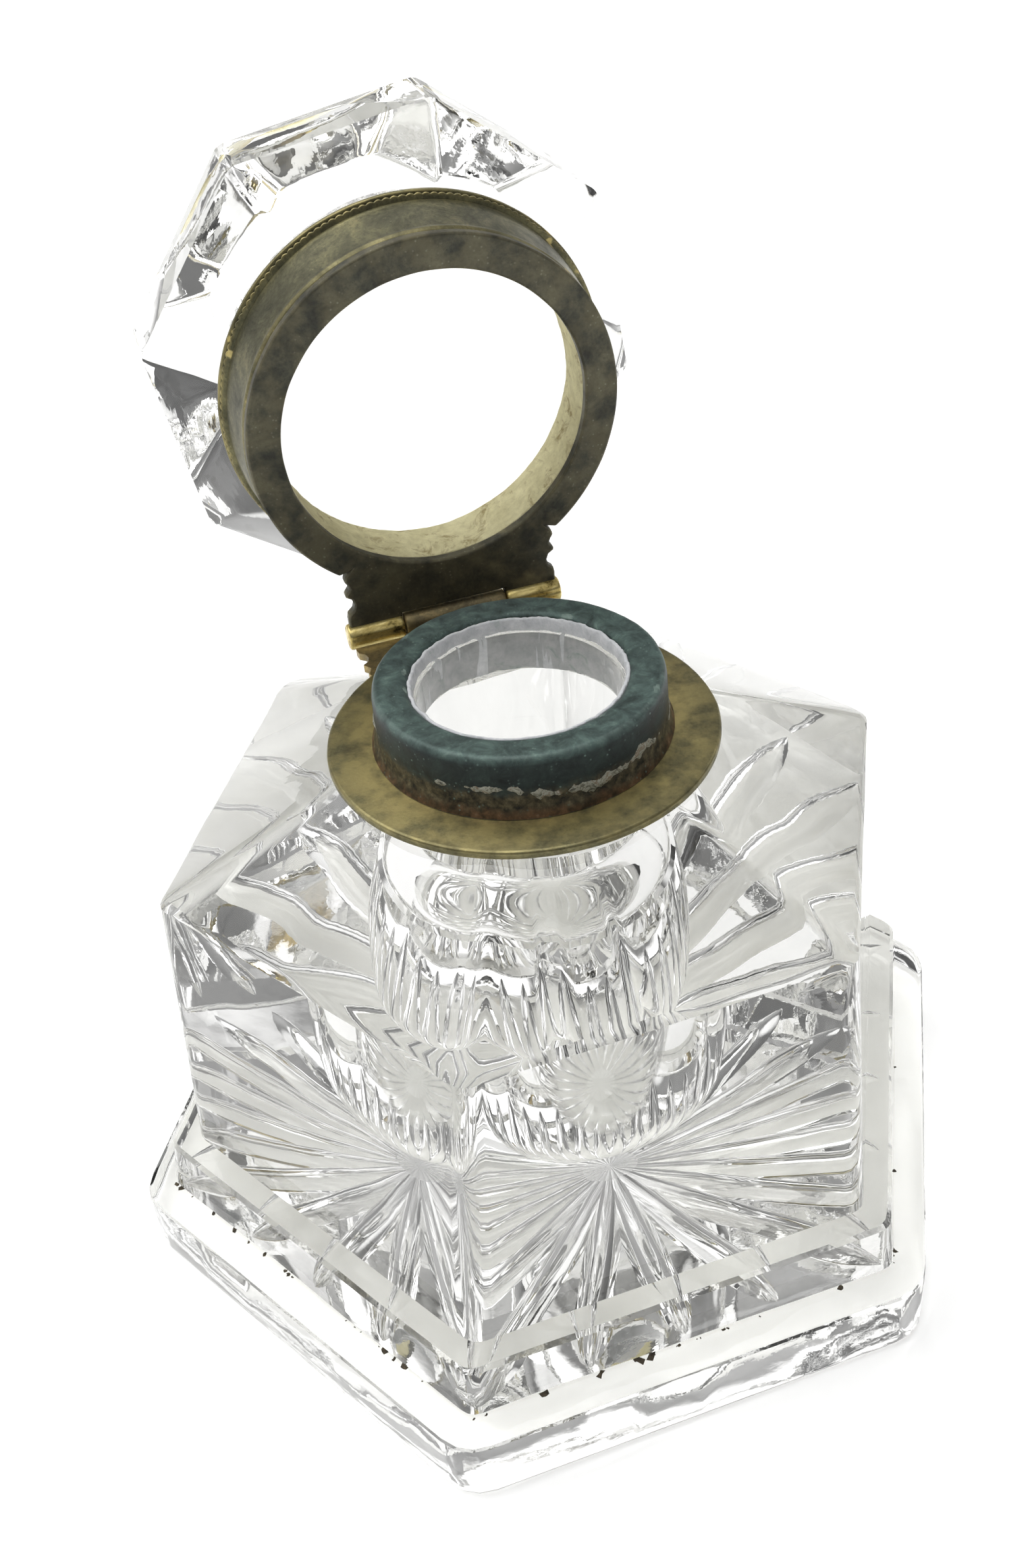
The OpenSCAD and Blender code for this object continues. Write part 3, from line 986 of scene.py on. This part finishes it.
def make_leaves():
    # The fixed leaf's root follows the flange's edge
    root = sweep(FLANGE_HIGH.x - 0.3 * MM, ROOT_ANGLE, math.pi - ROOT_ANGLE, 24)
    outline = leaf_outline(root, carries_middle=True)
    low, high = LEAF_LOW.z + 0.02 * MM, LEAF_HIGH.z - 0.04 * MM
    leaf = plate_mesh("collar_leaf", [outline], low, high, 0.22 * MM, 0.05 * MM)
    finish_piece(leaf, "base", "lid_brass", LEAF, replaces=["collar_hinge_leaf"])

    # The moving leaf runs on round the lid's plate
    round_plate = sweep(PLATE_HIGH.x, ROOT_ANGLE + 2 * math.pi, math.pi - ROOT_ANGLE, 140)[1:-1]
    outline = leaf_outline(round_plate, carries_middle=False)
    hole = sweep(PLATE_BORE_R, 0, 2 * math.pi, 160)[:-1]
    plate = plate_mesh("lid_plate_cut", [outline, hole], PLATE_LOW.z, PLATE_HIGH.z, 0.28 * MM, 0.06 * MM)
    finish_piece(plate, "lid", "lid_brass", DARK, replaces=["lid_plate"], opened=True)


def make_barrel():
    r = KNUCKLE_HIGH.y - HINGE.y
    ends = [(0.0, r * 0.45), (0.0, r * 0.86), (0.12 * MM, r * 0.96), (0.35 * MM, r), (1.4 * MM, r)]
    knuckle = along_x("knuckle_middle", ends, KNUCKLE_LOW.x, KNUCKLE_HIGH.x)
    finish_piece(knuckle, "base", "hinge_brass", LEAF, replaces=["collar_knuckle"])
    for side in ("left", "right"):
        node = f"lid_knuckle_{side}"
        low, high = shut_box(node)
        piece = along_x(f"knuckle_outer_{side}", ends, low.x, high.x)
        finish_piece(piece, "lid", "hinge_brass", GOLD, replaces=[node], opened=True)
    pin_r = PIN_HIGH.y - HINGE.y
    ends = [(0.0, pin_r * 0.6), (0.12 * MM, pin_r), (0.6 * MM, pin_r)]
    pin = along_x("pin_wire", ends, PIN_LOW.x, PIN_HIGH.x, 20, seam=False)
    finish_piece(pin, "base", "hinge_brass", GOLD, replaces=["hinge_pin"])


make_leaves()
make_barrel()


# ---------------------------------------------------------------- lid mount


def make_bezel():
    low, top = mm(BEZEL_LOW.z), mm(BEZEL_HIGH.z)
    inner, lip, plate = mm(BEZEL_BORE_R), mm(BEZEL_HIGH.x), mm(PLATE_HIGH.x)
    section = rounded([
        (inner, low, 0), (plate - 0.15, low, 0.15),
        (plate + 0.1, low + 0.5, 0.3), (plate + 0.05, low + 0.9, 0.2),
        (plate + 0.55, top - 2.3, 0.5), (lip - 0.75, top - 1.75, 0.1), (lip - 0.85, top - 1.6, 0.1),
        (lip - 0.3, top - 1.45, 0.2), (lip - 0.35, top - 1.15, 0.15), (lip - 0.7, top - 1.0, 0.1),
        (lip - 0.05, top - 0.85, 0.2), (lip - 0.02, top - 0.25, 0.3), (lip - 0.5, top - 0.02, 0.2),
        (inner, top - 0.05, 0),
    ], 3)
    band = [i for i, (r, z) in enumerate(section) if top - 1.5 < mm(z) < top - 1.1 and mm(r) > lip - 0.55]
    bezel = lathe("bezel_turned", section, 640, 0.04 * MM, 2.0, (band, 160, 0.16 * MM))
    finish_piece(bezel, "lid", "collar_brass", OLIVE, replaces=["lid_bezel"], opened=True)


def make_lining():
    low, step, top = mm(LINING_LOW.z), mm(RECESS_Z), mm(LINING_HIGH.z)
    outer, inner = mm(BEZEL_BORE_R) - 0.03, mm(PLATE_BORE_R)
    section = rounded([
        (inner + 0.1, low, 0.3), (outer, low, 0), (outer, top - 0.05, 0), (outer - 0.85, top - 0.05, 0),
        (outer - 0.85, step + 0.05, 0), (inner + 0.5, step, 0.3), (inner + 0.2, step - 2.5, 1.0),
    ], 3)
    ring = lathe("lid_lining", section, 240, 0.16 * MM, 4.0)
    finish_piece(ring, "lid", "cement", LINING_PLASTER, replaces=["lid_cement"], opened=True)


def make_lid_glass():
    loops = PolygonLoops(LID_SIDES, 12, LID_TURN, 0.8 * MM)
    seat_z, spigot_z, top = BEZEL_HIGH.z, LID_LOW.z, LID_HIGH.z
    seat_r, spigot_r = BEZEL_HIGH.x - 0.3 * MM, BEZEL_BORE_R - 0.95 * MM
    high = GIRDLE_LOW + GIRDLE_H
    b = 0.6 * MM  # the width of its bevels
    under = loops.corners(GIRDLE_R - b * 1.2, GIRDLE_LOW - b * 0.4)
    stack = [
        loops.circle(spigot_r * 0.04, spigot_z + 0.02 * MM),
        loops.circle(spigot_r - 0.5 * MM, spigot_z + 0.02 * MM),
        loops.circle(spigot_r - 0.05 * MM, spigot_z + 0.4 * MM),
        loops.circle(spigot_r - 0.05 * MM, seat_z + 0.02 * MM),
        loops.circle(seat_r - 0.3 * MM, seat_z + 0.02 * MM),
        loops.circle(seat_r, seat_z + 0.3 * MM),
        loops.circle_on_facets(seat_r, under, seat_z + 1.0 * MM, seat_z + 0.5 * MM),
        loops.around(under),
        loops.at(GIRDLE_R, GIRDLE_LOW + b),
        loops.at(GIRDLE_R, high - 2.2 * MM),
        loops.at(GIRDLE_R - 0.35 * MM, high - 1.7 * MM),
        loops.at(GIRDLE_R - 2.3 * MM, high + 0.7 * MM),
        loops.at(GIRDLE_R - 2.9 * MM, high + 1.1 * MM),
        loops.at(TABLE_R, top - b * 0.5),
        loops.at(TABLE_R - b, top - 0.02 * MM),
    ]
    piece = build("lid_glass_cut", *loft(stack))
    finish_piece(piece, "lid", "glass", CLEAR_GLASS, replaces=["lid_glass"], opened=True)
    fix_normals(piece)


make_bezel()
make_lining()
make_lid_glass()


# ---------------------------------------------------------------- camera, light and floor


def make_camera():
    """The viewing angle: from the front, a little left, looking down, the camera slightly rolled."""
    data = bpy.data.cameras.new("camera")
    data.sensor_width, data.lens = 36, 34.92
    data.clip_start, data.clip_end = 0.005, 50
    camera = add_object("camera", data)
    camera.location = (-0.0380, -0.1337, 0.1621)
    heading, tilt, roll = math.radians(15.2), math.radians(-37.17), math.radians(-5.69)
    look = Vector((math.sin(heading) * math.cos(tilt), math.cos(heading) * math.cos(tilt), math.sin(tilt)))
    camera.rotation_mode = "QUATERNION"
    camera.rotation_quaternion = look.to_track_quat("-Z", "Y") @ Matrix.Rotation(roll, 3, "Z").to_quaternion()
    bpy.context.scene.camera = camera


# Soft windows in the studio's sky: direction, how far from it they end and are full (degrees), brightness
WINDOWS = [
    ((-0.25, 0.2, 0.95), 39, 25, 3.9),  # overhead
    ((-0.85, 0.4, 0.38), 28, 12, 1.5),  # left
    ((0.8, 0.4, 0.45), 20, 10, 1.8),  # right
    ((0.3, -0.65, 0.7), 14, 7, 1.4),  # behind the camera
    ((0.0, 1.0, 0.12), 44, 8, 0.55),  # low, behind the inkwell
]
SKY_AT_HORIZON, SKY_ABOVE = 0.07, 0.44
STUDIO_STRENGTH = 0.62
WHITE_TO_CAMERA = 1.8
PAPER_GLOW = 0.27


def make_world():
    world = bpy.data.worlds.new("studio")
    world.use_nodes = True
    sky = Nodes(world.node_tree)
    towards = sky.node("ShaderNodeTexCoord").outputs["Generated"]
    split = sky.node("ShaderNodeSeparateXYZ")
    sky.link(towards, split.inputs["Vector"])

    def ease(value, start, end, low, high):
        node = sky.node("ShaderNodeMapRange", interpolation_type="SMOOTHSTEP")
        for key, number in (("From Min", start), ("From Max", end), ("To Min", low), ("To Max", high)):
            node.inputs[key].default_value = number
        sky.link(value, node.inputs["Value"])
        return node.outputs["Result"]

    light = ease(split.outputs["Z"], 0.0, 0.85, SKY_AT_HORIZON, SKY_ABOVE)
    for direction, end, full, brightness in WINDOWS:
        facing = sky.node("ShaderNodeVectorMath", operation="DOT_PRODUCT")
        facing.inputs[1].default_value = Vector(direction).normalized()
        sky.link(towards, facing.inputs[0])
        edges = (math.cos(math.radians(end)), math.cos(math.radians(full)))
        light = sky.maths("ADD", light, ease(facing.outputs["Value"], *edges, 0.0, brightness))
    # Where nothing stands before it, the camera sees the sky as white as the paper
    camera_ray = sky.node("ShaderNodeLightPath").outputs["Is Camera Ray"]
    white = sky.maths("MULTIPLY", camera_ray, WHITE_TO_CAMERA)
    background = sky.tree.nodes["Background"]
    sky.link(sky.maths("MAXIMUM", light, white), background.inputs["Color"])
    background.inputs["Strength"].default_value = STUDIO_STRENGTH
    bpy.context.scene.world = world


def make_floor():
    half, z = 6.0, -0.3 * MM
    mesh = bpy.data.meshes.new("floor")
    sheet = [(-half, -half, z), (half, -half, z), (half, half, z), (-half, half, z)]
    mesh.from_pydata(sheet, [], [(0, 1, 2, 3)])
    floor = add_object("floor", mesh)
    f = Finish("white_paper")
    grain = f.noise(400, 3)
    f.colour(f.ramp(grain, (0.3, (0.92, 0.92, 0.915)), (0.7, (0.95, 0.95, 0.945))))
    f.rough(f.ramp(grain, (0.3, 0.8), (0.7, 0.9)))
    # The paper lies on a light table
    f.set(Emission_Color=(1, 1, 1, 1), Emission_Strength=PAPER_GLOW)
    mesh.materials.append(f.mat)


make_camera()
make_world()
make_floor()
scene = bpy.context.scene
scene.view_settings.view_transform = "Standard"
# Light crosses the cut glass many times before it leaves
scene.cycles.max_bounces = 32
scene.cycles.transmission_bounces = 32
scene.cycles.glossy_bounces = 16
scene.cycles.blur_glossy = 0.0
